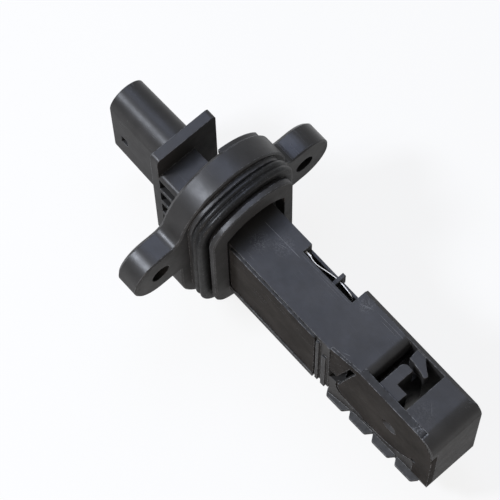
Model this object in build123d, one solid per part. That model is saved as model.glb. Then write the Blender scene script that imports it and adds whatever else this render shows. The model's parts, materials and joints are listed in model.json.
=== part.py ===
"""Plug-in mass airflow sensor: a moulded probe with connector, eared flange, seal and bypass duct.

X runs along the probe towards its tip, Y along the ears, Z against the air flow.
The origin is the centre of the flange's sealing face. All sizes are in millimetres.
"""
from build123d import *
from math import sqrt
import os

# Flange
flange_thick = 6.8
body_radius = 16.8
body_straight = 24.4
body_mid_z = -0.4
ear_radius = 7.9
hole_d = 5.3
hole_spacing = 46.0
hole_rise = 5.9
hole_mid_z = 3.3
ear_fillet = 3.2
ear_root_fillet = 0.8
flange_edge = 0.7
flange_front_edge = 0.4
back_pocket_depth = 3.6
back_pocket_wall = 2.4
back_lip_thick = 0.8
back_lip_inset = 0.4
back_lip_left = 2.5
back_lip_right = 14.0
back_lip_low = 14.0

# Collar that enters the duct wall
boss_len = 1.4
groove_len = 4.6
rim_len = 1.5
rim_half_width = 12.5
rim_top = 25.2
rim_foot = 23.2
rim_crown_radius = 18.6
rim_corner_radius = 7.0
rim_edge = 0.35
boss_step = 1.4
groove_depth = 1.0
face_recess_side = 2.9
face_recess_left = -8.3
face_recess_crown = 6.2
face_recess_corner = 1.2
face_recess_depth = 3.0

# Seal ring
seal_len = 3.4
seal_height = 3.2
seal_bevel = 0.5
seal_valley = 0.5
seal_offset = 0.25
seal_clear = 0.04

# Neck and plate behind the flange
neck_len = 9.4
plate_thick = 2.65
plate_half_width = 9.05
plate_half_height = 22.9
plate_corner = 1.3
shelf_top = 14.6
shelf_thick = 1.8
shelf_right = 2.2
shelf_round = 1.4
shelf_pitch = 7.3
shelf_count = 5
web_thick = 2.6

# Connector shroud
shroud_len = 20.5
shroud_y = 0.3
shroud_z = -1.3
shroud_half_width = 5.2
shroud_half_height = 15.4
shroud_wall = 1.35
shroud_draft = 0.6
socket_depth = 19.5
latch_from_mouth = 4.45
latch_z = -3.0
latch_w = 2.4
latch_h = 3.4

# Probe body
probe_top = 12.6
probe_bottom = -15.8
probe_left = -7.3
probe_right = 7.1
side_ledge_top = -13.6
side_ledge_stand = 1.0

# Temperature slot and the bridge over it
slot_start = 20.0
slot_len = 17.0
slot_inner = 4.25
slot_outer = 6.35
guard_top = 9.1
guard_bottom = -13.5
bridge_from_slot = 9.6
bridge_w = 1.0
bridge_thick = 1.0
bridge_top = 10.7
bridge_root = 0.5
bridge_reach = 8.2
bridge_leg = 1.1
bridge_leg_drop = 3.4

# Bypass section at the tip
slot_to_bypass = 5.0
bypass_len = 33.8
bypass_right = 9.3
bypass_wall = 1.3
bypass_face = -6.1
cover_seat = -4.2
bottom_start = -20.9
bottom_tip = -18.2
tip_round = 4.6
tip_foot_round = 1.2
top_chamfer_w = 1.05
top_chamfer_drop = 0.9
inlet_from_bypass = 11.4
inlet_len = 11.0
inlet_flare = 2.4
inlet_lip = 1.2
inlet_floor = 3.6
purge_w = 2.8
purge_slope_z = -9.5
purge_throat_z = -13.0
measuring_width = 4.6
measuring_from_bypass = 5.0
measuring_top = 6.0
measuring_bottom = -10.5
outlet_from_bypass = 11.4
measuring_bend = 2.6
rib_from_inlet = 2.1
rib_w = 2.9
rib_reach = 3.7
rib_foot_len = 3.2
rib_foot_w = 2.9
rib_corner = 1.5
rib_drop = 0.5
rib_root = 0.5
vane_from_inlet = 2.3
vane_lean = 0.45
vane_edge_y = 5.2
vane_bend = 2.0
vane_bend_y = 5.0
vane_tip = 5.9
vane_tip_y = 4.5
vane_tip_r = 0.9
vane_back = 2.1
vane_back_y = 7.6
vane_depth = 5.0

# Electronics tray
tray_from_cover = 2.4
tray_len = 26.6
tray_top = 9.9
tray_bottom = -11.4
tray_floor = 2.6
tray_corner = 1.5
bead_w = 0.9
bead_depth = 0.6
bead_gap = 0.6
ledge_len = 2.4

# Ribs between the two covers
rib_one_to_bypass = 4.0
rib_one_w = 0.9
rib_two_to_bypass = 2.0
rib_two_w = 1.3
rib_two_top = 5.0
rib_one_drop = 1.5
rib_stand = 0.65

# Electronics cover
ecover_start = 7.8
ecover_past_tray = 0.7
ecover_top = 12.1
ecover_bottom = -13.5
ecover_thick = 0.7
ecover_plug = 0.9
ecover_corner = 0.8
fit_gap = 0.12

# Bypass cover and the panel and tabs beside it
foot_thick = 0.75
foot_rise = 0.55
foot_len = 9.0
cover_gap = 0.3
sweep_len = 5.8
sweep_height = 11.7
floor_thick = 0.9
panel_width = 2.3
panel_top = -7.7
seam_knee = 4.1
seam_knee_z = -14.4
seam_low = 12.6
seam_low_z = -17.2
seam_rise = 21.5
seam_rise_z = -15.2
seam_end = 28.3
seam_end_z = -9.0
seam_gap = 0.6
seam_fit = 0.06
seam_spot = 1.6
seam_spot_long = 2.6
slot_reach = 13.0
slot_width = 1.9
slot_lean = 0.285
slot_depth = 2.4
slot_corner_rise = 1.0
corner_cut = 4.5
tab_count = 4
tab_lead = 0.7
tab_pitch = 8.07
tab_gap = 0.35
tab_reach = 1.5
tab_slant = 1.1
tab_round = 0.8
dimple_from_bypass = 19.7
dimple_z = -2.7
dimple_r = 2.4
dimple_depth = 1.0

# Terminals
terminal_count = 4
terminal_pitch = 5.0
terminal_w = 1.5
terminal_thick = 0.6
terminal_reach = 12.5

# Circuit module
carrier_plate_thick = 1.0
board_thick = 0.8
board_margin = 0.8
chip_size = 6.0
chip_thick = 1.1
chip_x = 11.5
chip_z = 2.0
capacitor_len = 3.2
capacitor_w = 1.6
capacitor_thick = 1.4
capacitor_count = 3
capacitor_x = 4.5
capacitor_pitch = 3.2
small_part_z = -6.2
resistor_len = 2.0
resistor_w = 1.25
resistor_thick = 0.5
resistor_count = 2
resistor_x = 15.0
resistor_pitch = 2.4
tongue_w = 5.4
tongue_thick = 1.2
tongue_past_duct = 1.0
die_len = 2.6
die_w = 2.2
die_thick = 0.4
die_margin = 0.6
tongue_root = 3.0
wire_w = 0.3
sensing_wire_count = 4
wire_land = 0.7
loop_height = 1.3

# Air temperature sensor
pin_r = 0.35
pin_reach = 1.6
pin_root = 1.4
pin_top_z = 10.4
pin_low_z = 7.6
lead_r = 0.2
bead_r = 0.85
bead_len = 3.4
bead_from_slot = 11.0
bead_z = 3.0
lead_side = 0.5
lead_rise = 0.5
lead_stub = 1.2
lead_run = 2.2

# How far a cut runs past the face that it opens, and how near a point counts as on a line
overrun = 1.0
corner_reach = 0.05
quarter_turn = 90

# Places worked out from the sizes above
slot_end = slot_start + slot_len
bypass_start = slot_end + slot_to_bypass
tip_x = bypass_start + bypass_len
inlet_start = bypass_start + inlet_from_bypass
inlet_end = inlet_start + inlet_len
measuring_x = bypass_start + measuring_from_bypass
measuring_outlet_x = bypass_start + outlet_from_bypass
rib_x = inlet_start + rib_from_inlet
vane_x = inlet_start + vane_from_inlet
tray_start = ecover_start + tray_from_cover
tray_end = tray_start + tray_len
ecover_end = tray_end + ecover_past_tray
rib_one_x = bypass_start - rib_one_to_bypass
rib_two_x = bypass_start - rib_two_to_bypass
foot_end = bypass_start + foot_len
seam_knee_x = bypass_start + seam_knee
seam_low_x = bypass_start + seam_low
seam_rise_x = bypass_start + seam_rise
seam_end_x = bypass_start + seam_end
tab_start = bypass_start - tab_lead
dimple_x = bypass_start + dimple_from_bypass
tongue_end = measuring_x + tongue_past_duct
bridge_x = slot_start + bridge_from_slot
bead_x = slot_start + bead_from_slot
valley_side = seal_valley * sqrt(2)
flange_back = -flange_thick
boss_end = boss_len
groove_end = boss_end + groove_len
rim_end = groove_end + rim_len
plate_front = flange_back - neck_len
plate_back = plate_front - plate_thick
mouth_x = plate_back - shroud_len
latch_x = mouth_x + latch_from_mouth
socket_floor = mouth_x + socket_depth
hole_y = sqrt(hole_spacing**2 - hole_rise**2) / 2
left_hole = (-hole_y, hole_mid_z + hole_rise / 2)
right_hole = (hole_y, hole_mid_z - hole_rise / 2)
slot_mid = (slot_inner + slot_outer) / 2
bypass_inner = bypass_right - bypass_wall
plate_face = tray_floor - carrier_plate_thick
board_face = plate_face - board_thick
tongue_face = plate_face - tongue_thick
terminal_zs = [shroud_z + terminal_pitch * (i - (terminal_count - 1) / 2) for i in range(terminal_count)]
terminal_side = shroud_y + terminal_thick / 2
bottom_slope = (bottom_tip - bottom_start) / (tip_x - bypass_start)
board_x0 = tray_start + ledge_len + board_margin
board_x1 = tray_end - board_margin - tongue_root


def block(x0, x1, y0, y1, z0, z1):
    """A box between two corners."""
    return Pos((x0 + x1) / 2, (y0 + y1) / 2, (z0 + z1) / 2) * Box(x1 - x0, y1 - y0, z1 - z0)


def slab_x(sketch, x0, x1):
    """A sketch drawn in (Y, Z), given thickness from x0 to x1."""
    return Pos(x0, 0, 0) * extrude(Plane.YZ * sketch, x1 - x0)


def slab_y(sketch, y0, y1):
    """A sketch drawn in (X, Z), given thickness from y0 to y1."""
    return Pos(0, y1, 0) * extrude(Plane.XZ * sketch, y1 - y0)


def slab_z(sketch, z0, z1):
    """A sketch drawn in (X, Y), given thickness from z0 to z1."""
    return Pos(0, 0, z0) * extrude(sketch, z1 - z0)


def rectangle(u0, u1, v0, v1):
    return Pos((u0 + u1) / 2, (v0 + v1) / 2) * Rectangle(u1 - u0, v1 - v0)


def rounded(u0, u1, v0, v1, radius):
    return Pos((u0 + u1) / 2, (v0 + v1) / 2) * RectangleRounded(u1 - u0, v1 - v0, radius)


def upright_slot(half_width, half_height):
    """A slot standing along Z with full-round ends."""
    return SlotOverall(2 * half_height, 2 * half_width, rotation=quarter_turn)


def bottom_at(x):
    """Height of the tip section's underside."""
    return bottom_start + bottom_slope * (x - bypass_start)


# ---------------------------------------------------------------- flange
def flange_outline():
    outline = Pos(0, body_mid_z) * upright_slot(body_radius, body_straight / 2 + body_radius)
    for y, z in (left_hole, right_hole):
        outline += Pos(y, z) * Circle(ear_radius)
        outline += Pos(y / 2, z) * Rectangle(abs(y), 2 * ear_radius)
    return outline


def ear_corners(outline, upper):
    """The sharp inner corners where an ear's upper or lower edge runs into the body."""
    found = []
    for vertex in outline.vertices():
        side = left_hole if vertex.X < 0 else right_hole
        on_body = body_radius / 2 < abs(vertex.X) < body_radius + corner_reach
        edge_z = side[1] + (ear_radius if upper else -ear_radius)
        if on_body and abs(vertex.Y - edge_z) < corner_reach:
            found.append(vertex)
    return found


def flange():
    outline = flange_outline()
    outline = fillet(ear_corners(outline, True), ear_fillet)
    outline = fillet(ear_corners(outline, False), ear_root_fillet)
    solid = slab_x(outline, flange_back, 0)
    solid = chamfer(solid.faces().sort_by(Axis.X)[0].outer_wire().edges(), flange_edge)
    solid = chamfer(solid.faces().sort_by(Axis.X)[-1].outer_wire().edges(), flange_front_edge)
    for y, z in (left_hole, right_hole):
        solid -= Pos(flange_back / 2, y, z) * Rot(0, quarter_turn, 0) * Cylinder(hole_d / 2, 2 * flange_thick)
    return solid


def back_pockets():
    """Two pockets cored out of the flange's back above and below the neck."""
    inner = upright_slot(body_radius - back_pocket_wall, body_straight / 2 + body_radius - back_pocket_wall)
    ring = slab_x(Pos(0, body_mid_z) * inner, flange_back, flange_back + back_pocket_depth)
    edge = shelf_top + back_pocket_wall
    return ring - block(flange_back - overrun, 0, -body_radius, body_radius, -edge, edge)


def back_lip():
    """A raised lip along the top of the flange's back."""
    outer = upright_slot(body_radius - back_lip_inset, body_straight / 2 + body_radius - back_lip_inset)
    inner = upright_slot(body_radius - back_pocket_wall, body_straight / 2 + body_radius - back_pocket_wall)
    x0 = flange_back - back_lip_thick
    ring = slab_x(Pos(0, body_mid_z) * (outer - inner), x0, flange_back + back_pocket_depth)
    return ring & block(x0, 0, back_lip_left, back_lip_right, back_lip_low, 2 * rim_top)


# ---------------------------------------------------------------- collar
def collar_outline(side=0.0, crown=None, corner=None):
    """The collar's outline, grown by side at the flanks and by crown at the two round ends."""
    crown = side if crown is None else crown
    corner = rim_corner_radius + side if corner is None else corner
    half_width = rim_half_width + side
    crown_radius = rim_crown_radius + crown
    top = rim_top + crown
    foot = rim_foot + crown
    upper = rectangle(-half_width, half_width, 0, top) & Pos(0, top - crown_radius) * Circle(crown_radius)
    lower = rectangle(-half_width, half_width, -foot, 0) & Pos(0, crown_radius - foot) * Circle(crown_radius)
    outline = upper + lower
    on_flank = [v for v in outline.vertices() if abs(abs(v.X) - half_width) < corner_reach]
    shoulders = [v for v in on_flank if abs(v.Y) > foot / 4]
    return fillet(shoulders, corner)


def collar():
    boss = slab_x(collar_outline(boss_step), 0, boss_end)
    boss = chamfer(boss.faces().sort_by(Axis.X)[-1].outer_wire().edges(), rim_edge)
    core = slab_x(collar_outline(-groove_depth), boss_end, groove_end)
    rim = slab_x(collar_outline(), groove_end, rim_end)
    rim = chamfer(rim.faces().sort_by(Axis.X)[-1].outer_wire().edges(), rim_edge)
    recess = collar_outline(-face_recess_side, -face_recess_crown, face_recess_corner)
    recess &= rectangle(face_recess_left, rim_half_width, -rim_foot, rim_top)
    return boss + core + rim - slab_x(recess, rim_end - face_recess_depth, rim_end)


def seal_ring():
    """A rubber ring with two lips, seated on the floor of the collar's groove."""
    half = seal_len / 2
    section = rectangle(-half, half, 0, seal_height)
    section = chamfer(section.vertices().group_by(Axis.Y)[-1], seal_bevel)
    section -= Pos(0, seal_height) * Rot(0, 0, quarter_turn / 2) * Rectangle(valley_side, valley_side)
    path = collar_outline(seal_clear - groove_depth).face().outer_wire()
    frame = Plane(origin=path @ 0, x_dir=(0, 0, 1), z_dir=path % 0)
    ring = sweep(frame * section, path=path)
    centre_x = boss_end + seal_offset + half
    return Pos(centre_x, 0, 0) * Rot(0, 0, quarter_turn) * Rot(quarter_turn, 0, 0) * ring


# ---------------------------------------------------------------- neck, plate and connector
def neck():
    """Shelves on a middle web, as the mould leaves them between the plate and the flange."""
    x0 = plate_front - plate_thick / 2
    x1 = flange_back + back_pocket_depth
    shape = block(x0, x1, shroud_y - web_thick / 2, shroud_y + web_thick / 2, -shelf_top, shelf_top)
    top_shelf = block(x0, x1, -plate_half_width, shelf_right, shelf_top - shelf_thick, shelf_top)
    shape += fillet(top_shelf.edges().filter_by(Axis.X).group_by(Axis.Y)[0].sort_by(Axis.Z)[-1], shelf_round)
    for i in range(1, shelf_count):
        top = shelf_top - i * shelf_pitch
        shape += block(x0, x1, -plate_half_width, shelf_right, top - shelf_thick, top)
    return shape


def connector():
    plate = slab_x(rounded(-plate_half_width, plate_half_width, -plate_half_height, plate_half_height,
                           plate_corner), plate_back, plate_front)
    mouth = Pos(shroud_y, shroud_z) * upright_slot(shroud_half_width, shroud_half_height)
    root = Pos(shroud_y, shroud_z) * upright_slot(shroud_half_width + shroud_draft / 2,
                                                  shroud_half_height + shroud_draft)
    shroud = loft([Pos(mouth_x, 0, 0) * (Plane.YZ * mouth), Pos(plate_back, 0, 0) * (Plane.YZ * root)])
    shape = plate + shroud
    shape -= block(latch_x - latch_w / 2, latch_x + latch_w / 2,
                   shroud_y - shroud_half_width - overrun, shroud_y - shroud_half_width / 2,
                   latch_z - latch_h / 2, latch_z + latch_h / 2)
    return shape


def socket():
    """The hollow that the plug goes into."""
    inside = upright_slot(shroud_half_width - shroud_wall, shroud_half_height - shroud_wall)
    return slab_x(Pos(shroud_y, shroud_z) * inside, mouth_x, socket_floor)


def terminal(z):
    """A flat blade that runs from the socket through the flange to the tray."""
    y0 = shroud_y - terminal_thick / 2
    blade = block(socket_floor - terminal_reach, tray_start + ledge_len, y0, terminal_side,
                  z - terminal_w / 2, z + terminal_w / 2)
    tip = blade.faces().sort_by(Axis.X)[0].edges().filter_by(Axis.Z)
    return chamfer(tip, terminal_thick / 3)


# ---------------------------------------------------------------- probe
def probe():
    root = rim_end - face_recess_depth
    body = block(root, bypass_start, probe_left, probe_right, probe_bottom, probe_top)
    ledge = block(root, ecover_end, probe_left - side_ledge_stand, probe_left, probe_bottom, side_ledge_top)
    return body + ledge + block(slot_end, bypass_start, 0, bypass_right, probe_bottom, probe_top)


def temperature_slot():
    low = probe_bottom - overrun
    high = probe_top + overrun
    open_slot = block(slot_start, slot_end, slot_inner, slot_outer, low, high)
    above = block(slot_start, slot_end, slot_outer, probe_right + overrun, guard_top, high)
    below = block(slot_start, slot_end, slot_outer, probe_right + overrun, low, guard_bottom)
    return open_slot + above + below


def bridge():
    """The hook that keeps the sensor's leads in the slot."""
    x1 = bridge_x + bridge_w
    under = bridge_top - bridge_thick
    bar = block(bridge_x, x1, slot_inner - bridge_root, bridge_reach, under, bridge_top)
    leg = block(bridge_x, x1, bridge_reach - bridge_leg, bridge_reach, under - bridge_leg_drop, bridge_top)
    foot = block(bridge_x, x1, slot_outer, bridge_reach, under - bridge_leg_drop, guard_top)
    return bar + leg + foot


def side_outline():
    """The tip section from the side, in (X, Z)."""
    with BuildSketch() as sketch:
        with BuildLine():
            Polyline((bypass_start, bottom_start), (tip_x, bottom_tip), (tip_x, probe_top),
                     (bypass_start, probe_top), close=True)
        make_face()
        corners = sketch.vertices().group_by(Axis.X)[-1].sort_by(Axis.Y)
        fillet(corners[-1], tip_round)
        fillet(corners[0], tip_foot_round)
    return sketch.sketch


def cover_outline(grow=0.0):
    """The bypass cover from the side: its tip corner is a long sweep."""
    end = tip_x + grow
    top = probe_top + grow
    with BuildSketch() as sketch:
        with BuildLine():
            foot = Polyline((bypass_start, top), (bypass_start, bottom_start - grow),
                            (end, bottom_tip - grow))
            side = Line(foot @ 1, (end, top - sweep_height))
            bend = EllipticalCenterArc((end - sweep_len, top - sweep_height), sweep_len, sweep_height,
                                       start_angle=0, arc_size=quarter_turn)
            Line(bend @ 1, foot @ 0)
        make_face()
    return sketch.sketch


def measuring_path():
    """Centreline of the measuring duct: in beside the rib, down past the sensor and out underneath."""
    inlet_x = (inlet_start + rib_x) / 2
    return FilletPolyline((inlet_x, probe_top), (inlet_x, measuring_top), (measuring_x, measuring_top),
                          (measuring_x, measuring_bottom), (measuring_outlet_x, measuring_bottom),
                          (measuring_outlet_x, bottom_start - measuring_width), radius=measuring_bend)


def bypass_duct():
    """The air's way: the inlet, the purge channel that keeps dust out, and the measuring duct."""
    inlet = rectangle(inlet_start, inlet_end, inlet_floor, probe_top + inlet_lip)
    flare = rectangle(inlet_start - inlet_flare, inlet_start, probe_top - inlet_flare, probe_top + inlet_lip)
    inlet += flare - Pos(inlet_start - inlet_flare, probe_top - inlet_flare) * Circle(inlet_flare)
    rib_end = rib_x + rib_w
    purge_end = rib_end + purge_w
    purge_top = inlet_floor + inlet_lip
    purge_low = bottom_start - inlet_lip
    with BuildSketch() as purge:
        with BuildLine():
            Polyline((rib_end, purge_top), (rib_end, purge_low), (purge_end, purge_low),
                     (purge_end, purge_throat_z), (inlet_end, purge_slope_z), (inlet_end, purge_top),
                     close=True)
        make_face()
    branch = trace(measuring_path(), measuring_width)
    branch_top = measuring_top + measuring_width / 2
    keep_out = rectangle(rib_x, rib_end, bottom_start - 2 * measuring_width, inlet_floor)
    keep_out += rectangle(inlet_start - measuring_width, inlet_start, branch_top, probe_top)
    outline = inlet + purge.sketch + (branch - keep_out)
    return slab_y(outline, cover_seat, bypass_inner)


def inlet_ribs():
    """The L-shaped rib and the curved vane that guide the air just inside the inlet."""
    top = probe_top - rib_drop
    rib_end = rib_x + rib_w
    foot_end = rib_end + rib_foot_len
    foot_side = cover_seat + rib_foot_w
    with BuildSketch() as ell:
        with BuildLine():
            Polyline((rib_x, cover_seat), (rib_x, rib_reach), (rib_end, rib_reach), (rib_end, foot_side),
                     (foot_end, foot_side), (foot_end, cover_seat), close=True)
        make_face()
        fillet(ell.vertices().sort_by_distance((rib_x, rib_reach))[0], rib_corner)
    root = bypass_inner + rib_root
    bend_x = vane_x + vane_bend
    tip_end = vane_x + vane_tip
    with BuildSketch() as vane:
        with BuildLine():
            outer = Spline((vane_x + vane_back, root), (bend_x + vane_tip_r, vane_back_y),
                           (tip_end, vane_tip_y + vane_tip_r))
            tip = ThreePointArc(outer @ 1, (tip_end, vane_tip_y), (tip_end - vane_tip_r, vane_tip_y))
            inner = Spline(tip @ 1, (bend_x, vane_bend_y), (vane_x, vane_edge_y))
            Polyline(inner @ 1, (vane_x - vane_lean, root), outer @ 0)
        make_face()
    return slab_z(ell.sketch, inlet_floor - rib_root, top) + slab_z(vane.sketch, top - vane_depth, top)


def under_cover():
    """The housing's stepped side that the bypass cover lies against near the electronics section."""
    face = bypass_face + foot_rise
    with BuildSketch() as foot:
        with BuildLine():
            Polyline((bypass_start, face - foot_thick), (foot_end, face), (foot_end, bypass_inner),
                     (bypass_start, bypass_inner), close=True)
        make_face()
    return slab_z(foot.sketch, bottom_start, probe_top)


def floor_band():
    """The floor wall under the cover's lower edge, from the side."""
    return side_outline() - Pos(0, floor_thick) * side_outline()


def panel_outline(grow=0.0):
    """The housing's own lower panel, from the side: the seam above it dips and rises like a wide bowl."""
    top = panel_top + grow
    start = bypass_start - grow
    end = seam_end_x + (seam_fit if grow else 0)
    slim = grow / 2
    with BuildSketch() as sketch:
        with BuildLine():
            seam = Spline((bypass_start + panel_width + grow, top), (seam_knee_x + grow, seam_knee_z + grow),
                          (seam_low_x, seam_low_z + grow), (seam_rise_x, seam_rise_z + slim),
                          (end, seam_end_z + slim))
            Polyline(seam @ 1, (end, bottom_start), (start, bottom_start), (start, top), seam @ 0)
        make_face()
    return sketch.sketch


def panel():
    """The lower panel, flush with the cover: thick beside the electronics section, then level."""
    face = bypass_face + foot_rise - 2 * foot_thick
    with BuildSketch() as plan:
        with BuildLine():
            Polyline((bypass_start, face), (foot_end, bypass_face), (seam_end_x, bypass_face),
                     (seam_end_x, cover_seat), (bypass_start, cover_seat), close=True)
        make_face()
    return slab_z(plan.sketch, bottom_start, probe_top) & slab_y(panel_outline(), face, cover_seat)


def seam_spots():
    """The two small openings along the seam, cut through cover and panel alike."""
    low = Pos(seam_low_x, seam_low_z) * SlotOverall(seam_spot_long, seam_spot)
    end = Pos(seam_end_x, seam_end_z) * Circle(seam_spot / 2)
    return slab_y(low + end, bypass_face - 2 * foot_thick, cover_seat)


def hook_slot():
    """The leaning slot in the cover's lower corner, from the side."""
    x0 = bypass_start + panel_width
    z0 = panel_top + corner_cut
    lean = slot_lean * slot_reach
    with BuildSketch() as sketch:
        with BuildLine():
            Polyline((bypass_start, z0 + slot_corner_rise), (x0, z0), (x0 + lean, z0 + slot_reach),
                     (x0 + lean + slot_width, z0 + slot_reach), (x0 + slot_width, z0),
                     (x0 + slot_width / 2, panel_top), (bypass_start, panel_top), close=True)
        make_face()
    return sketch.sketch


def tab_outline(i):
    """One tab from above: a low trapezoid with rounded outer corners."""
    x0 = tab_start + i * tab_pitch
    x1 = x0 + tab_pitch - tab_gap
    face = bypass_face - foot_thick / 2
    reach = face - tab_reach
    with BuildSketch() as sketch:
        with BuildLine():
            Polyline((x0, face), (x0 + tab_slant, reach), (x1 - tab_slant, reach), (x1, face),
                     (x1, cover_seat), (x0, cover_seat), close=True)
        make_face()
        fillet(sketch.vertices().group_by(Axis.Y)[0], tab_round)
    return sketch.sketch


def tabs():
    """The row of tabs that the floor wall carries past the cover's face."""
    row = slab_z(tab_outline(0), bottom_start, probe_top)
    for i in range(1, tab_count):
        row += slab_z(tab_outline(i), bottom_start, probe_top)
    low = bottom_at(tab_start)
    with BuildSketch() as band:
        with BuildLine():
            Polyline((tab_start, low), (tip_x, bottom_tip), (tip_x, bottom_tip + floor_thick),
                     (tab_start, low + floor_thick), close=True)
        make_face()
    return row & slab_y(band.sketch, bypass_face - 2 * tab_reach, cover_seat)


def top_chamfer():
    """The long bevel along the housing's top edge on the guard's side."""
    inside = bypass_right - top_chamfer_w
    outside = bypass_right + overrun
    low = probe_top - top_chamfer_drop
    high = probe_top + overrun
    with BuildSketch() as corner:
        with BuildLine():
            Polyline((inside, probe_top), (bypass_right, low), (outside, low), (outside, high),
                     (inside, high), close=True)
        make_face()
    return slab_x(corner.sketch, bypass_start - slot_outer, tip_x + overrun)


def bypass_section():
    outline = side_outline()
    body = slab_y(outline, cover_seat, bypass_right)
    side = (outline - cover_outline(cover_gap)) + floor_band()
    shape = body + slab_y(side, bypass_face, cover_seat)
    shape += under_cover() & slab_y(outline, bypass_face - foot_thick, bypass_right)
    shape += panel()
    shape += tabs()
    shape -= seam_spots()
    return shape - slab_y(hook_slot(), bypass_face - 2 * foot_thick, bypass_face + slot_depth)


def joint_ribs():
    """Two upright ribs on the side where the covers meet."""
    y0 = probe_left - rib_stand
    first = block(rib_one_x, rib_one_x + rib_one_w, y0, probe_left, probe_bottom, probe_top - rib_one_drop)
    second = block(rib_two_x, rib_two_x + rib_two_w, y0, probe_left, probe_bottom, rib_two_top)
    return first + second


def tray_outline(grow=0.0):
    """The tray from the side, with its edges and its corners moved out by grow."""
    return rounded(tray_start - grow, tray_end + grow, tray_bottom - grow, tray_top + grow,
                   tray_corner + grow)


def tray():
    hollow = slab_y(tray_outline(), probe_left, tray_floor)
    ledge = block(tray_start, tray_start + ledge_len, terminal_side, tray_floor, tray_bottom, tray_top)
    return hollow - ledge


def tray_groove():
    """The groove round the tray that holds the cover's sealing bead."""
    ring = tray_outline(bead_gap + bead_w) - tray_outline(bead_gap)
    return slab_y(ring, probe_left, probe_left + bead_depth)


def tongue_slot():
    """The way from the tray to the measuring duct that the sensor tongue passes through."""
    return block(tray_end - overrun, measuring_x, tongue_face - fit_gap, plate_face + fit_gap,
                 -tongue_w / 2 - fit_gap, tongue_w / 2 + fit_gap)


def housing():
    shape = flange() - back_pockets() + back_lip()
    shape += collar()
    shape += neck()
    shape += connector()
    shape += probe()
    shape += bypass_section()
    shape -= top_chamfer()
    shape += joint_ribs()
    shape -= temperature_slot()
    shape += bridge()
    shape -= bypass_duct()
    shape += inlet_ribs()
    shape -= socket()
    shape -= tray()
    shape -= tray_groove()
    shape -= tongue_slot()
    for z in terminal_zs:
        shape -= terminal(z)
    for z in (pin_top_z, pin_low_z):
        shape -= pin(z)
    return shape


# ---------------------------------------------------------------- covers
def electronics_cover():
    outline = rounded(ecover_start, ecover_end, ecover_bottom, ecover_top, ecover_corner)
    plate = slab_y(outline, probe_left - ecover_thick, probe_left)
    return plate + slab_y(tray_outline(-fit_gap), probe_left, probe_left + ecover_plug)


def bypass_cover():
    """The cover over the air ducts; its thin foot climbs the step beside the electronics section."""
    outline = cover_outline() - floor_band() - panel_outline(seam_gap)
    beyond_foot = outline - rectangle(bypass_start - overrun, foot_end, bottom_start, probe_top)
    plate = slab_y(beyond_foot, bypass_face, cover_seat)
    face = bypass_face + foot_rise
    with BuildSketch() as foot:
        with BuildLine():
            Polyline((bypass_start, face - foot_thick), (bypass_start, face - 2 * foot_thick),
                     (foot_end, bypass_face), (foot_end, face), close=True)
        make_face()
    foot_slab = slab_z(foot.sketch, bottom_start, probe_top) & slab_y(outline, face - 2 * foot_thick, face)
    cover = plate + foot_slab
    cover -= slab_y(hook_slot(), bypass_face - 2 * foot_thick, face)
    ball = (dimple_r**2 + dimple_depth**2) / (2 * dimple_depth)
    cover -= Pos(dimple_x, bypass_face + dimple_depth - ball, dimple_z) * Sphere(ball)
    return cover - seam_spots()


# ---------------------------------------------------------------- circuit module
def carrier_plate():
    return block(tray_start + ledge_len + fit_gap, tray_end - 2 * fit_gap, plate_face, tray_floor,
                 tray_bottom + board_margin, tray_top - board_margin)


def circuit_board():
    return block(board_x0, board_x1, board_face, plate_face, tray_bottom + 2 * board_margin,
                 tray_top - 2 * board_margin)


def on_board(x, z, length, width, thick):
    """A part lying on the board's face, its length along Z."""
    return block(x - width / 2, x + width / 2, board_face - thick, board_face, z - length / 2, z + length / 2)


def sensor_tongue():
    """The holder that carries the sensing chip out of the tray and into the measuring duct."""
    start = board_x1 + cover_gap
    shape = block(start, tongue_end, tongue_face, plate_face, -tongue_w / 2, tongue_w / 2)
    return shape - sensing_chip()


def sensing_chip():
    x1 = tongue_end - die_margin
    return block(x1 - die_len, x1, tongue_face, tongue_face + die_thick, -die_w / 2, die_w / 2)


def wire_loop(start, end, z):
    """A square bond wire in the plane of Z: up from one face, across, and down on the other."""
    peak = min(start[1], end[1]) - loop_height
    path = Polyline(start, (start[0], peak), (end[0], peak), end)
    return slab_z(trace(path, wire_w), z - wire_w / 2, z + wire_w / 2)


def terminal_wires():
    start = (tray_start + ledge_len - wire_land, shroud_y - terminal_thick / 2)
    return [wire_loop(start, (board_x0 + wire_land, board_face), z) for z in terminal_zs]


def sensing_wires():
    start = (board_x1 - wire_land, board_face)
    end = (board_x1 + cover_gap + wire_land, tongue_face)
    pitch = die_w / sensing_wire_count
    first = -pitch * (sensing_wire_count - 1) / 2
    return [wire_loop(start, end, first + i * pitch) for i in range(sensing_wire_count)]


# ---------------------------------------------------------------- air temperature sensor
def pin(z):
    """A pin moulded into the slot's end wall."""
    rod = Rot(0, quarter_turn, 0) * Cylinder(pin_r, pin_reach + pin_root)
    return Pos(slot_start + (pin_reach - pin_root) / 2, slot_mid, z) * rod


def bead():
    """The glass bead, a short rod with round ends."""
    straight = bead_len - 2 * bead_r
    shape = Rot(0, quarter_turn, 0) * Cylinder(bead_r, straight)
    shape += Pos(-straight / 2, 0, 0) * Sphere(bead_r) + Pos(straight / 2, 0, 0) * Sphere(bead_r)
    return Pos(bead_x, slot_mid, bead_z) * shape


def lead(points):
    path = Polyline(*points)
    section = Plane(origin=path @ 0, z_dir=path % 0) * Circle(lead_r)
    return sweep(section, path=path, transition=Transition.RIGHT)


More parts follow.
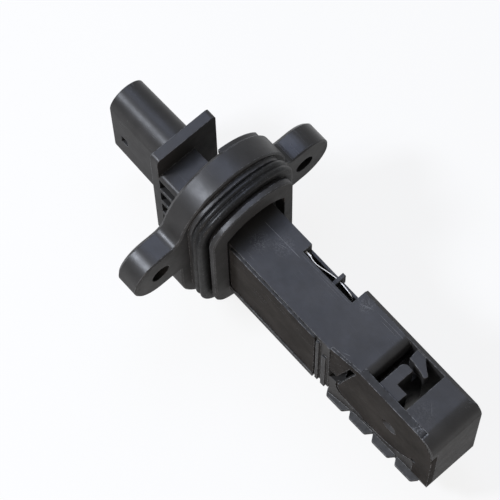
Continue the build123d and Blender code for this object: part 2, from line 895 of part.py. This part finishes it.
def long_lead():
    """From the upper pin, under the bridge and down to the bead's far end."""
    start = slot_start + pin_reach
    end = bead_x + bead_len / 2
    under_bridge = bridge_top - bridge_thick - 2 * lead_r
    wire = lead([(start, slot_mid, pin_top_z), (start + lead_run, slot_mid - lead_side, pin_top_z),
                 (bridge_x, slot_mid + lead_side / 2, under_bridge),
                 (slot_end - lead_stub, slot_mid + lead_side, under_bridge),
                 (slot_end - lead_stub, slot_mid, bead_z + lead_stub), (end, slot_mid, bead_z)])
    return wire - bead() - pin(pin_top_z)


def short_lead():
    """From the lower pin along the slot and down to the bead's near end."""
    start = slot_start + pin_reach
    end = bead_x - bead_len / 2
    wire = lead([(start, slot_mid, pin_low_z),
                 (start + lead_run, slot_mid + lead_side, pin_low_z + lead_rise),
                 (end - lead_run, slot_mid, (pin_low_z + bead_z) / 2), (end, slot_mid, bead_z)])
    return wire - bead() - pin(pin_low_z)


def write(name, shape):
    export_step(shape, f"parts/{name}.step")


def main():
    os.makedirs("parts", exist_ok=True)
    write("housing", housing())
    write("seal_ring", seal_ring())
    write("electronics_cover", electronics_cover())
    write("bypass_cover", bypass_cover())
    write("tray_bead", tray_groove())
    for i, z in enumerate(terminal_zs, 1):
        write(f"terminal_{i}", terminal(z))
    write("carrier_plate", carrier_plate())
    write("circuit_board", circuit_board())
    write("signal_chip", on_board(board_x0 + chip_x, chip_z, chip_size, chip_size, chip_thick))
    for i in range(capacitor_count):
        x = board_x0 + capacitor_x + i * capacitor_pitch
        write(f"capacitor_{i + 1}", on_board(x, small_part_z, capacitor_len, capacitor_w, capacitor_thick))
    for i in range(resistor_count):
        x = board_x0 + resistor_x + i * resistor_pitch
        write(f"resistor_{i + 1}", on_board(x, small_part_z, resistor_len, resistor_w, resistor_thick))
    write("terminal_wires", Compound(children=terminal_wires()))
    write("sensor_tongue", sensor_tongue())
    write("sensing_chip", sensing_chip())
    write("sensing_wires", Compound(children=sensing_wires()))
    write("temperature_pin_1", pin(pin_top_z))
    write("temperature_pin_2", pin(pin_low_z))
    write("temperature_lead_1", long_lead())
    write("temperature_lead_2", short_lead())
    write("temperature_bead", bead())


if __name__ == "__main__":
    main()
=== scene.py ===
import json
import math

import bpy
from mathutils import Matrix, Vector


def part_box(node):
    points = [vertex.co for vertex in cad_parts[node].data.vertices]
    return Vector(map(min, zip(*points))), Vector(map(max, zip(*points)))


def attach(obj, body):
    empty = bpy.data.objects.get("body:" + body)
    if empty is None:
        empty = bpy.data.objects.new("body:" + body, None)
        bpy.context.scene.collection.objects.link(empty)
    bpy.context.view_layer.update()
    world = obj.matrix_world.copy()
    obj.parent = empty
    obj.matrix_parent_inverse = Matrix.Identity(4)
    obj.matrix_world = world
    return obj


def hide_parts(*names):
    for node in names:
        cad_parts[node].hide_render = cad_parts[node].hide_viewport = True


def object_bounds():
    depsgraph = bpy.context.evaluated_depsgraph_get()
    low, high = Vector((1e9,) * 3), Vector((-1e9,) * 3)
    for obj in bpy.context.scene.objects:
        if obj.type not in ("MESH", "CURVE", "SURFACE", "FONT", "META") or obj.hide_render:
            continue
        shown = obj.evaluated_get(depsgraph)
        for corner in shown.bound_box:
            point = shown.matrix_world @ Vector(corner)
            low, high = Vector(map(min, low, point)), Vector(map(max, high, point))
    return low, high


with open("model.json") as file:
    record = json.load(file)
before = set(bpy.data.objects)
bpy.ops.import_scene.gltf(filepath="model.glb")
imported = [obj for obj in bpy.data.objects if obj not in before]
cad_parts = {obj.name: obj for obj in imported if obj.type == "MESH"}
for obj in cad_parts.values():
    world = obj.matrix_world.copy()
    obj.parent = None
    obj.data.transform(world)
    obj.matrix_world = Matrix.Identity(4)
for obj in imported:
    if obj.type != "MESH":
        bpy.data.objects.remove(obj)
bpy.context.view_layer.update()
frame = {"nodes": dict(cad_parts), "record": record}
MM = 0.001

# Camera: where it stands and how it is turned, in millimetres of the part's frame
CAMERA_AT = (164.9, -133.0, 541.4)
CAMERA_LOOK = (-0.2715, 0.2269, -0.9353)
CAMERA_UP = (-0.698, 0.624, 0.351)
CAMERA_LENS = 174.0
SENSOR = 36.0
CLIP_NEAR, CLIP_FAR = 10, 10000

# Lamps: place, aimed at, side lengths (mm), colour and power (W)
LAMPS = {
    "key": ((-200, -350, 480), (0, 0, 0), (110, 110), (0.84, 0.89, 1.0), 3.7),
    "top_soft": ((-160, 130, 540), (20, 0, 0), (300, 300), (0.6, 0.7, 1.0), 1.15),
    "fill_side": ((330, -430, 110), (20, 0, 0), (420, 200), (1.0, 0.82, 0.68), 0.6),
}
WORLD_LEVEL = 0.2

# Floor (mm), and the share of its white that is its own glow; the rest is lit and keeps the shadow
FLOOR_SIZE = 3000
FLOOR_DROP = 0.1
FLOOR_GLOW = 0.86

# Tones and gloss of the finishes
RUBBER_GLOSS = 0.22
# Pale tone of scratches, scuffed patches and worn edges, and of the painted highlights along edges and in the
# cover's dimple
MARK_AND_HIGHLIGHT_TONE = 0.34
DUST_TONE = 0.2
PIT_TONE = 0.002
CHIPPED_EDGE = (0.7, 0.7, 0.68, 1.0)


# ---------------------------------------------------------------- node helpers
class Tree:
    """A material's node tree with short ways to add and join nodes."""

    def __init__(self, name):
        self.material = bpy.data.materials.new(name)
        self.material.use_nodes = True
        self.tree = self.material.node_tree
        self.tree.nodes.clear()
        self.place = self.add("ShaderNodeTexCoord").outputs["Object"]

    def add(self, kind, inputs=None, **settings):
        node = self.tree.nodes.new(kind)
        for key, value in settings.items():
            setattr(node, key, value)
        for key, value in (inputs or {}).items():
            if isinstance(value, bpy.types.NodeSocket):
                self.tree.links.new(value, node.inputs[key])
            else:
                node.inputs[key].default_value = value
        return node

    def math(self, operation, a, b=0.0, clamp=False):
        return self.add("ShaderNodeMath", {0: a, 1: b}, operation=operation, use_clamp=clamp).outputs[0]

    def noise(self, size, detail=3.0, rough=0.5, at=None, distortion=0.0):
        """Noise whose blotches are about size millimetres across, 0 to 1."""
        node = self.add("ShaderNodeTexNoise", {"Vector": at or self.place, "Scale": 1 / (size * MM),
                                               "Detail": detail, "Roughness": rough,
                                               "Distortion": distortion})
        return node.outputs["Fac"]

    def stretched(self, turn, along, across):
        """Coordinates turned by degrees and stretched, so that a noise of 1 mm becomes streaks."""
        node = self.add("ShaderNodeMapping", {"Vector": self.place,
                                              "Rotation": [math.radians(a) for a in turn],
                                              "Scale": (1 / along, 1 / across, 1 / across)})
        return node.outputs[0]

    def remap(self, value, low, high, new_low=0.0, new_high=1.0):
        return self.add("ShaderNodeMapRange", {0: value, 1: low, 2: high, 3: new_low, 4: new_high}).outputs[0]

    def mix(self, factor, a, b):
        return self.add("ShaderNodeMix", {0: factor, 6: a, 7: b}, data_type="RGBA").outputs[2]

    def edges(self, radius):
        """1 on sharp edges, 0 on flats: how far a rounded normal turns away from the true one."""
        bevel = self.add("ShaderNodeBevel", {"Radius": radius * MM}, samples=6).outputs[0]
        normal = self.add("ShaderNodeNewGeometry").outputs["Normal"]
        dot = self.add("ShaderNodeVectorMath", {0: bevel, 1: normal}, operation="DOT_PRODUCT")
        return self.remap(dot.outputs["Value"], 0.985, 0.86), bevel

    def side_walls(self):
        """1 on walls that stand along Z, the way the mould opens, which drags them dull; 0 on tops."""
        normal = self.add("ShaderNodeTexCoord").outputs["Normal"]
        across = self.add("ShaderNodeSeparateXYZ", {0: normal}).outputs["Z"]
        return self.remap(self.math("ABSOLUTE", across), 0.5, 0.15)

    def low_tops(self, side, height):
        """1 on faces that look up where y is below side and z is below height, both in millimetres."""
        where = self.add("ShaderNodeSeparateXYZ", {0: self.place})
        beside = self.remap(where.outputs["Y"], side * MM, (side - 0.3) * MM)
        below = self.remap(where.outputs["Z"], height * MM, (height - 0.3) * MM)
        upward = self.math("SUBTRACT", 1.0, self.side_walls())
        return self.math("MULTIPLY", self.math("MULTIPLY", beside, below), upward)

    def near(self, point, reach):
        """1 at a point in millimetres, falling to 0 at reach millimetres away."""
        away = self.add("ShaderNodeVectorMath", {0: self.place, 1: Vector(point) * MM}, operation="DISTANCE")
        return self.remap(away.outputs["Value"], reach * MM, reach * MM * 0.4)

    def segment(self, start, end, width):
        """1 on the straight line between two points in millimetres, broken up by noise, 0 beside it."""
        a, b = Vector(start) * MM, Vector(end) * MM
        way = (b - a).normalized()
        to_a = self.add("ShaderNodeVectorMath", {0: self.place, 1: a}, operation="SUBTRACT").outputs[0]
        along = self.add("ShaderNodeVectorMath", {0: to_a, 1: way}, operation="DOT_PRODUCT").outputs["Value"]
        cross = self.add("ShaderNodeVectorMath", {0: to_a, 1: way}, operation="CROSS_PRODUCT").outputs[0]
        off = self.add("ShaderNodeVectorMath", {0: cross}, operation="LENGTH").outputs["Value"]
        beside = self.remap(off, width * MM, width * MM / 3)
        before = self.remap(along, 0.0, MM)
        after = self.remap(along, (b - a).length, (b - a).length - MM)
        broken = self.remap(self.noise(0.9, 3, 0.6), 0.36, 0.5)
        within = self.math("MULTIPLY", before, after)
        return self.math("MULTIPLY", self.math("MULTIPLY", beside, broken), within)

    def bump(self, height, strength, depth, normal=None):
        inputs = {"Height": height, "Strength": strength, "Distance": depth * MM}
        if normal is not None:
            inputs["Normal"] = normal
        return self.add("ShaderNodeBump", inputs).outputs[0]

    def finish(self, shader):
        self.add("ShaderNodeOutputMaterial", {"Surface": shader})
        return self.material


def tone(level, warm=0.0):
    """A grey; warm moves it towards brown."""
    return (level * (1 + warm), level, level * (1 - warm), 1.0)


# ---------------------------------------------------------------- materials
# Noise sizes are in millimetres. The first two numbers of a remap are the noise levels between which a
# feature fades in, so they set how much of the surface it covers.
def hair(t, turn, along=3.0, across=0.07, low=0.66, curl=0.0):
    """Hairline streaks that run one way, 0 to 1; curl bends them."""
    return t.remap(t.noise(1, 2, 0.4, t.stretched(turn, along, across), curl), low, low + 0.03)


def moulded(name, level, rough=(0.36, 0.46), grain=0.35, edge_wear_and_highlight=0.5, scratches=0.5, scuffs_and_highlights=(), lines=(),
            warm=0.05, gloss=0.3, drag=0.32, pale_tops=None, pale_tops_level=0.0, polished=(), pits=()):
    """Glass-filled black plastic: cloudy tone, fine grain, pale edges that are partly worn and partly a
    painted highlight, hairline scratches and scuffed patches.

    drag is how much rougher the walls are that the mould slid along.
    The list of pale patches gives (point, reach, amount), for scuffed patches and, on the cover, one painted
    highlight; lines gives (start, end, width, amount), for straight scratches.
    The corner for paler tops is in millimetres: faces that look up are paler where y and z are both below it.
    polished gives (point, reach, amount): places that handling has made smoother.
    pits gives (point, reach): small dark marks of the mould.
    """
    t = Tree(name)
    cloud = t.noise(9, 4, 0.6)
    speck = t.remap(t.noise(0.28, 2, 0.5), 0.66, 0.72)
    colour = t.mix(t.remap(cloud, 0.3, 0.7), tone(level * 0.7, warm), tone(level * 1.4, warm))
    colour = t.mix(t.math("MULTIPLY", speck, 0.25), colour, tone(level * 3.0, warm))
    # Faces that look up turn paler, in patches, where y and z are below a corner
    if pale_tops:
        patchy = t.remap(t.noise(2.2, 4, 0.6), 0.3, 0.6, 0.55, 1.0)
        colour = t.mix(t.math("MULTIPLY", t.low_tops(*pale_tops), patchy), colour, tone(pale_tops_level))
    edge, rounded_normal = t.edges(0.3)
    broken = t.remap(t.noise(1.1, 4, 0.7), 0.42, 0.62)
    # Pale edges: partly worn, broken up by noise, and partly a painted highlight along the edges
    worn_and_highlit_edge = t.math("MULTIPLY", t.math("MULTIPLY", edge, broken), edge_wear_and_highlight)
    patch = t.remap(t.noise(14, 2, 0.5), 0.54, 0.66)
    long_hair = t.math("MAXIMUM", hair(t, (0, 0, 31), 14, 0.1, 0.7), hair(t, (12, 8, -52), 18, 0.09, 0.71))
    drawn = t.math("MULTIPLY", long_hair, t.math("MULTIPLY", patch, scratches))
    for start, end, width, amount in lines:
        drawn = t.math("MAXIMUM", drawn, t.math("MULTIPLY", t.segment(start, end, width), amount))
    if scuffs_and_highlights:
        fine = t.math("MAXIMUM", hair(t, (0, 0, 12), 1.8, 0.06, 0.68, 0.5),
                      hair(t, (0, 0, -48), 1.3, 0.06, 0.68, 0.8))
        dusty = t.remap(t.noise(0.5, 4, 0.7), 0.48, 0.68, 0.0, 0.5)
        fine = t.math("MAXIMUM", fine, dusty)
        # Pale hairlines round each point: scuffed patches, and on the cover one painted highlight in the
        # dimple
        for point, reach, amount in scuffs_and_highlights:
            scuff_and_highlight = t.math("MULTIPLY", t.math("MULTIPLY", t.near(point, reach), fine), amount)
            drawn = t.math("MAXIMUM", drawn, scuff_and_highlight)
    marks = t.math("MAXIMUM", worn_and_highlit_edge, drawn)
    # Scratches, scuffed patches and worn edges turn pale, and with them the painted highlights along edges
    # and in the dimple
    colour = t.mix(marks, colour, tone(MARK_AND_HIGHLIGHT_TONE))
    sunk = 0.0
    for point, reach in pits:
        sunk = t.math("MAXIMUM", sunk, t.near(point, reach))
    if pits:
        colour = t.mix(sunk, colour, tone(PIT_TONE))
        drawn = t.math("MAXIMUM", drawn, sunk)
    roughness = t.remap(t.noise(3.2, 5, 0.65), 0.3, 0.7, rough[0], rough[1])
    for point, reach, amount in polished:
        roughness = t.math("SUBTRACT", roughness, t.math("MULTIPLY", t.near(point, reach), amount))
    roughness = t.math("ADD", roughness, t.math("MULTIPLY", marks, 0.25), clamp=True)
    roughness = t.math("ADD", roughness, t.math("MULTIPLY", t.side_walls(), drag), clamp=True)
    normal = t.bump(t.noise(0.16, 3, 0.6), grain, 0.02, rounded_normal)
    normal = t.bump(t.noise(2.6, 2, 0.5), 0.3, 0.06, normal)
    normal = t.bump(drawn, 0.5, -0.02, normal)
    shader = t.add("ShaderNodeBsdfPrincipled", {"Base Color": colour, "Roughness": roughness,
                                                "Normal": normal, "Specular IOR Level": gloss})
    return t.finish(shader.outputs[0])


def rubber(name, level):
    """Smooth seal rubber with a faint bloom and a little dust."""
    t = Tree(name)
    bloom = t.noise(4, 4, 0.6)
    dust = t.remap(t.noise(0.35, 2, 0.5), 0.64, 0.7)
    colour = t.mix(bloom, tone(level * 0.6), tone(level * 1.7))
    colour = t.mix(t.math("MULTIPLY", dust, 0.35), colour, tone(DUST_TONE))
    roughness = t.remap(t.noise(2.0, 4, 0.6), 0.3, 0.7, 0.3, 0.44)
    roughness = t.math("ADD", roughness, t.math("MULTIPLY", t.side_walls(), 0.25), clamp=True)
    normal = t.bump(t.noise(0.5, 3, 0.5), 0.25, 0.02, t.edges(0.25)[1])
    shader = t.add("ShaderNodeBsdfPrincipled", {"Base Color": colour, "Roughness": roughness,
                                                "Normal": normal, "Specular IOR Level": RUBBER_GLOSS})
    return t.finish(shader.outputs[0])


def metal(name, colour, rough, streak=(0, 0, 0), tarnish=0.25, drawn=0.25, rounded=True):
    """Bare metal with drawn streaks and a light tarnish; rounded eases its edges."""
    t = Tree(name)
    haze = t.remap(t.noise(1.6, 4, 0.6), 0.4, 0.7)
    dark = tuple(c * 0.55 for c in colour) + (1.0,)
    base = t.mix(t.math("MULTIPLY", haze, tarnish), tuple(colour) + (1.0,), dark)
    lines = t.noise(1, 3, 0.6, t.stretched(streak, 5, 0.09))
    roughness = t.remap(lines, 0.3, 0.7, rough * 0.7, rough * 1.4)
    normal = t.bump(lines, drawn, 0.01, t.edges(0.1)[1] if rounded else None)
    shader = t.add("ShaderNodeBsdfPrincipled", {"Base Color": base, "Roughness": roughness, "Normal": normal,
                                                "Metallic": 1.0})
    return t.finish(shader.outputs[0])


def fired(name, colour, rough=0.4, speckle=0.3):
    """Ceramic, silicon and glazed parts: fine speckle, a slight gloss."""
    t = Tree(name)
    spots = t.remap(t.noise(0.25, 3, 0.6), 0.45, 0.62)
    dark = tuple(c * 0.7 for c in colour) + (1.0,)
    base = t.mix(t.math("MULTIPLY", spots, speckle), tuple(colour) + (1.0,), dark)
    roughness = t.remap(t.noise(0.8, 3, 0.6), 0.3, 0.7, rough * 0.75, rough * 1.25)
    edge, rounded_normal = t.edges(0.12)
    base = t.mix(t.math("MULTIPLY", edge, 0.2), base, CHIPPED_EDGE)
    normal = t.bump(t.noise(0.12, 2, 0.5), 0.2, 0.01, rounded_normal)
    shader = t.add("ShaderNodeBsdfPrincipled", {"Base Color": base, "Roughness": roughness, "Normal": normal})
    return t.finish(shader.outputs[0])


def glass(name):
    """A small greenish glass bead with the dark chip showing through."""
    t = Tree(name)
    core = t.remap(t.noise(0.9, 2, 0.5), 0.45, 0.6)
    base = t.mix(core, (0.42, 0.5, 0.44, 1.0), (0.12, 0.1, 0.08, 1.0))
    roughness = t.remap(t.noise(0.5, 2, 0.5), 0.3, 0.7, 0.04, 0.12)
    normal = t.bump(t.noise(0.4, 2, 0.5), 0.1, 0.01)
    shader = t.add("ShaderNodeBsdfPrincipled", {"Base Color": base, "Roughness": roughness, "Normal": normal,
                                                "Coat Weight": 0.6, "Coat Roughness": 0.05})
    return t.finish(shader.outputs[0])


# Marks, and one painted highlight, read from the photograph: points in millimetres, most of them on the
# probe's top face
PROBE_TOP = 12.6
HOUSING_SCUFFS = (
    ((11.3, -1.6, PROBE_TOP), 3.4, 0.34),
    ((15.8, 1.8, PROBE_TOP), 3.4, 0.3),
    ((39.5, 6.4, PROBE_TOP), 2.6, 0.45),
    ((67.5, -1.6, PROBE_TOP), 4.0, 0.16),
)
HOUSING_LINES = (
    ((8.1, 2.6, PROBE_TOP), (20.9, 2.7, PROBE_TOP), 0.09, 0.36),
    ((20.0, 3.5, PROBE_TOP), (37.0, 3.7, PROBE_TOP), 0.08, 0.16),
    ((10.2, -3.0, PROBE_TOP), (12.4, -1.5, PROBE_TOP), 0.08, 0.3),
    ((14.3, 1.2, PROBE_TOP), (17.5, 2.2, PROBE_TOP), 0.08, 0.25),
    ((44.4, -5.6, PROBE_TOP), (46.8, -4.6, PROBE_TOP), 0.09, 0.3),
    ((38.0, 5.3, PROBE_TOP), (41.6, 6.8, PROBE_TOP), 0.09, 0.35),
    ((66.8, 1.6, PROBE_TOP), (69.3, -0.7, PROBE_TOP), 0.08, 0.2),
)
TIP_PITS = (
    ((75.7, 6.9, 6.9), 0.75),
    ((75.8, 6.5, 6.2), 0.5),
)
POLISHED = (
    ((-2.0, -23.0, 5.0), 14.0, 0.1),
    ((-2.0, 23.0, 5.0), 14.0, 0.1),
)
COVER_SCUFFS_AND_HIGHLIGHT = (
    ((69.5, -5.0, PROBE_TOP), 1.8, 0.9),
    # Painted highlight on the lower side of the dimple in the cover, made of the same pale hairlines as the
    # scuffed patches
    ((62.5, -5.4, -3.4), 1.5, 0.5),
)

FINISHES = {
    "housing": moulded("housing_plastic", 0.021, edge_wear_and_highlight=0.65, scuffs_and_highlights=HOUSING_SCUFFS, lines=HOUSING_LINES,
                       pale_tops=(-6.0, -15.0), pale_tops_level=0.085, polished=POLISHED,
                       pits=TIP_PITS),
    "cover": moulded("cover_plastic", 0.022, rough=(0.42, 0.54), grain=0.25, edge_wear_and_highlight=1.0, scuffs_and_highlights=COVER_SCUFFS_AND_HIGHLIGHT,
                     warm=0.13, gloss=0.04, pale_tops=(-4.0, 13.0), pale_tops_level=0.055),
    "seal": rubber("seal_rubber", 0.005),
    "sealant": rubber("sealant_rubber", 0.03),
    "terminal": metal("terminal_brass", (0.78, 0.72, 0.58), 0.28, (0, 0, 0)),
    "plate_metal": metal("plate_aluminium", (0.72, 0.72, 0.74), 0.32, (0, 0, 90)),
    "board": fired("board_ceramic", (0.78, 0.78, 0.72)),
    "chip": moulded("chip_plastic", 0.02, edge_wear_and_highlight=0.3, scratches=0.2),
    "capacitor": fired("capacitor_ceramic", (0.48, 0.36, 0.25)),
    "resistor": fired("resistor_ceramic", (0.05, 0.05, 0.06), 0.3),
    "wire": metal("bond_wire", (0.82, 0.82, 0.84), 0.25),
    "tongue": moulded("tongue_plastic", 0.03, edge_wear_and_highlight=0.3, scratches=0.2),
    "silicon": fired("silicon", (0.16, 0.18, 0.24), 0.16, 0.2),
    "lead_metal": metal("lead_tinned", (0.8, 0.79, 0.76), 0.42, tarnish=0.2, drawn=0.03, rounded=False),
    "bead_glass": glass("bead_glass"),
}


def dress_nodes():
    """Gives every CAD node the finish of its record slot."""
    for part in frame["record"]["subparts"]:
        material = FINISHES[part["material_slot"]]
        mesh = frame["nodes"][part["node"]]
        if not mesh.material_slots:
            mesh.data.materials.append(None)
        for slot in mesh.material_slots:
            slot.link = "OBJECT"
            slot.material = material


# ---------------------------------------------------------------- stage
def backdrop_shader():
    """White to the camera and in reflections, with a share of plain diffuse white that keeps the shadow."""
    t = Tree("floor_white")
    path = t.add("ShaderNodeLightPath").outputs
    seen = t.math("MAXIMUM", path["Is Camera Ray"], t.math("MAXIMUM", path["Is Glossy Ray"],
                                                           path["Is Transmission Ray"]))
    glow = t.add("ShaderNodeEmission", {"Color": (1, 1, 1, 1), "Strength": 1.0}).outputs[0]
    tint = t.mix(t.noise(60, 3, 0.5), (0.8, 0.8, 0.8, 1), (0.83, 0.83, 0.83, 1))
    plain = t.add("ShaderNodeBsdfDiffuse", {"Color": tint}).outputs[0]
    share = t.math("MULTIPLY", seen, FLOOR_GLOW)
    return t.finish(t.add("ShaderNodeMixShader", {0: share, 1: plain, 2: glow}).outputs[0])


def make_floor():
    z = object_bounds()[0][2] - FLOOR_DROP * MM
    half = FLOOR_SIZE / 2 * MM
    mesh = bpy.data.meshes.new("floor")
    corners = [(-half, -half, z), (half, -half, z), (half, half, z), (-half, half, z)]
    mesh.from_pydata(corners, [], [(0, 1, 2, 3)])
    floor = bpy.data.objects.new("floor", mesh)
    floor.data.materials.append(backdrop_shader())
    bpy.context.scene.collection.objects.link(floor)


def make_world():
    world = bpy.data.worlds.new("studio")
    world.use_nodes = True
    tree = world.node_tree
    tree.nodes.clear()
    path = tree.nodes.new("ShaderNodeLightPath")
    mirrored = tree.nodes.new("ShaderNodeMath")
    mirrored.operation = "MAXIMUM"
    tree.links.new(path.outputs["Is Glossy Ray"], mirrored.inputs[0])
    tree.links.new(path.outputs["Is Transmission Ray"], mirrored.inputs[1])
    high = tree.nodes.new("ShaderNodeMath")
    high.operation = "MAXIMUM"
    tree.links.new(path.outputs["Is Camera Ray"], high.inputs[0])
    tree.links.new(mirrored.outputs[0], high.inputs[1])
    level = tree.nodes.new("ShaderNodeMapRange")
    level.inputs["To Min"].default_value = WORLD_LEVEL
    level.inputs["To Max"].default_value = 1.0
    tree.links.new(high.outputs[0], level.inputs["Value"])
    sky = tree.nodes.new("ShaderNodeBackground")
    tree.links.new(level.outputs[0], sky.inputs["Strength"])
    out = tree.nodes.new("ShaderNodeOutputWorld")
    tree.links.new(sky.outputs[0], out.inputs["Surface"])
    bpy.context.scene.world = world


def make_lamps():
    for name, (place, aim, size, colour, power) in LAMPS.items():
        lamp = bpy.data.lights.new(name, "AREA")
        lamp.shape = "RECTANGLE"
        lamp.size = size[0] * MM
        lamp.size_y = size[1] * MM
        lamp.color = colour
        lamp.energy = power
        holder = bpy.data.objects.new(name, lamp)
        holder.location = Vector(place) * MM
        holder.rotation_euler = (Vector(aim) - Vector(place)).to_track_quat("-Z", "Y").to_euler()
        bpy.context.scene.collection.objects.link(holder)


def make_camera():
    data = bpy.data.cameras.new("camera")
    data.sensor_fit = "HORIZONTAL"
    data.sensor_width = SENSOR
    data.lens = CAMERA_LENS
    data.clip_start = CLIP_NEAR * MM
    data.clip_end = CLIP_FAR * MM
    camera = bpy.data.objects.new("camera", data)
    back = -Vector(CAMERA_LOOK).normalized()
    right = Vector(CAMERA_UP).cross(back).normalized()
    up = back.cross(right)
    turn = Matrix((right, up, back)).transposed()
    camera.matrix_world = Matrix.Translation(Vector(CAMERA_AT) * MM) @ turn.to_4x4()
    bpy.context.scene.collection.objects.link(camera)
    bpy.context.scene.camera = camera


# ---------------------------------------------------------------- the sensor's leads
LEAD_R = 0.17
SHORT_LEAD_R = 0.9 * LEAD_R
WIRE_SIDES = 5
WIRE_STEPS = 10
LONG_LEAD = ((21.4, 5.3, 10.4), (22.6, 4.95, 10.3), (24.6, 5.2, 10.0), (26.6, 5.8, 9.8), (28.6, 6.3, 9.5),
             (30.6, 6.5, 9.4), (33.0, 6.3, 9.5), (35.2, 6.1, 9.2), (36.0, 5.6, 7.0), (35.6, 5.3, 4.2),
             (34.4, 5.3, 3.0), (32.6, 5.3, 3.0))
SHORT_LEAD = ((21.4, 5.3, 7.6), (22.6, 4.95, 7.9), (24.4, 4.8, 8.6), (26.4, 4.75, 8.9), (28.0, 4.9, 7.6),
              (28.3, 5.2, 5.0), (28.5, 5.3, 3.2), (29.5, 5.3, 3.0))


def tube(name, points, radius, replaced):
    """A round wire that runs smoothly along points in millimetres and stands for a CAD node."""
    curve = bpy.data.curves.new(name, "CURVE")
    curve.dimensions = "3D"
    curve.bevel_depth = radius * MM
    curve.bevel_resolution = WIRE_SIDES
    curve.resolution_u = WIRE_STEPS
    curve.use_fill_caps = True
    spline = curve.splines.new("NURBS")
    spline.points.add(len(points) - 1)
    for point, place in zip(spline.points, points):
        point.co = (*(v * MM for v in place), 1)
    spline.order_u = 3
    spline.use_endpoint_u = True
    wire = bpy.data.objects.new(name, curve)
    bpy.context.scene.collection.objects.link(wire)
    wire.data.materials.append(FINISHES["lead_metal"])
    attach(wire, "root")
    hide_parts(replaced)


# ---------------------------------------------------------------- meshes made of loops
ARC_STEPS = 28


def arc(centre, radius, start, end, steps=ARC_STEPS):
    """Points on an arc in (y, z), angles in degrees from +y."""
    angles = [math.radians(start + (end - start) * i / steps) for i in range(steps + 1)]
    return [(centre[0] + radius * math.cos(a), centre[1] + radius * math.sin(a)) for a in angles]


def skinned(name, loops, closed, slot, replaced):
    """A smooth mesh through loops of points in millimetres, which stands for a CAD node.

    A closed one joins its last loop to its first; the others get a flat end on each side.
    """
    count = len(loops[0])
    faces = []
    for i in range(len(loops) if closed else len(loops) - 1):
        here, after = i * count, (i + 1) % len(loops) * count
        faces += [(here + j, here + (j + 1) % count, after + (j + 1) % count, after + j)
                  for j in range(count)]
    if not closed:
        last = (len(loops) - 1) * count
        faces += [tuple(range(count))[::-1], tuple(range(last, last + count))]
    mesh = bpy.data.meshes.new(name)
    mesh.from_pydata([Vector(p) * MM for loop in loops for p in loop], [], faces)
    for face in mesh.polygons:
        face.use_smooth = len(face.vertices) == 4
    piece = bpy.data.objects.new(name, mesh)
    piece.data.materials.append(FINISHES[slot])
    bpy.context.scene.collection.objects.link(piece)
    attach(piece, "root")
    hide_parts(replaced)


# ---------------------------------------------------------------- the seal
# Height of the section, radius of its two lips, depth of the valley between them, and the two radii of the
# groove's floor: at its corners and at its crowned ends. All as in the part's source.
SEAL_HEIGHT = 3.2
SEAL_LIP = 0.85
SEAL_VALLEY = 0.5
SEAL_CORNER = 6.04
SEAL_CROWN = 17.64
LIP_STEPS = 14


def ring_outline(half_width, top, foot, grow):
    """The groove floor's outline in (y, z), moved out by grow: flanks, round corners and crowned ends.

    top and foot are how far the floor reaches above and below the collar's centre.
    """
    side = half_width - SEAL_CORNER
    reach = SEAL_CROWN - SEAL_CORNER
    rise = math.sqrt(reach**2 - side**2)
    turn = math.degrees(math.atan2(rise, side))
    upper, lower = top - SEAL_CROWN, SEAL_CROWN - foot
    corner, crown = SEAL_CORNER + grow, SEAL_CROWN + grow
    points = arc((side, upper + rise), corner, 0, turn)
    points += arc((0, upper), crown, turn, 180 - turn)[1:]
    points += arc((-side, upper + rise), corner, 180 - turn, 180)[1:]
    points += arc((-side, lower - rise), corner, 180, 180 + turn)
    points += arc((0, lower), crown, 180 + turn, 360 - turn)[1:]
    return points + arc((side, lower - rise), corner, 360 - turn, 360)[1:]


def seal_section(half_len):
    """The seal's section as (x, height) pairs: a flat foot and two round lips with a valley between."""
    centre = SEAL_HEIGHT - SEAL_LIP
    lip = half_len - SEAL_LIP
    valley = math.degrees(math.asin(1 - SEAL_VALLEY / SEAL_LIP))
    left = arc((-lip, centre), SEAL_LIP, 180, valley, LIP_STEPS)
    right = arc((lip, centre), SEAL_LIP, 180 - valley, 0, LIP_STEPS)
    return [(-half_len, 0.0)] + left + right + [(half_len, 0.0)]


def round_seal():
    """The rubber seal with its lips fully round, in the place of the CAD ring."""
    low, high = (Vector(corner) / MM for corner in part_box("seal_ring"))
    middle = (low.x + high.x) / 2
    half_width, top, foot = (reach - SEAL_HEIGHT for reach in (high.y, high.z, -low.z))
    loops = [[(middle + x, y, z) for y, z in ring_outline(half_width, top, foot, grow)]
             for x, grow in seal_section((high.x - low.x) / 2)]
    skinned("round_seal", loops, True, "seal", "seal_ring")


# ---------------------------------------------------------------- the glass bead
# Steps along and round it, radius of the necks, and how quickly it swells: below 1 makes it fuller
BEAD_STEPS = 36
BEAD_NECK = 0.25
BEAD_FULLNESS = 0.72


def drawn_bead():
    """The glass bead as a drop drawn out to a short neck round each lead, in the place of the CAD bead."""
    low, high = (Vector(corner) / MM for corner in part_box("temperature_bead"))
    centre = (low + high) / 2
    half_len, radius = (high.x - low.x) / 2, (high.z - low.z) / 2
    loops = []
    for i in range(BEAD_STEPS + 1):
        turn = math.pi * i / BEAD_STEPS
        swell = radius * abs(math.sin(turn)) ** BEAD_FULLNESS
        neck = BEAD_NECK * math.cos(turn)
        ring = arc((centre.y, centre.z), math.hypot(swell, neck), 0, 360, BEAD_STEPS)[:-1]
        loops.append([(centre.x - half_len * math.cos(turn), y, z) for y, z in ring])
    skinned("drawn_bead", loops, False, "bead_glass", "temperature_bead")


# ---------------------------------------------------------------- the scene
round_seal()
drawn_bead()
tube("long_lead_wire", LONG_LEAD, LEAD_R, "temperature_lead_1")
tube("short_lead_wire", SHORT_LEAD, SHORT_LEAD_R, "temperature_lead_2")
dress_nodes()
make_floor()
make_world()
make_lamps()
make_camera()
bpy.context.scene.view_settings.view_transform = "Standard"
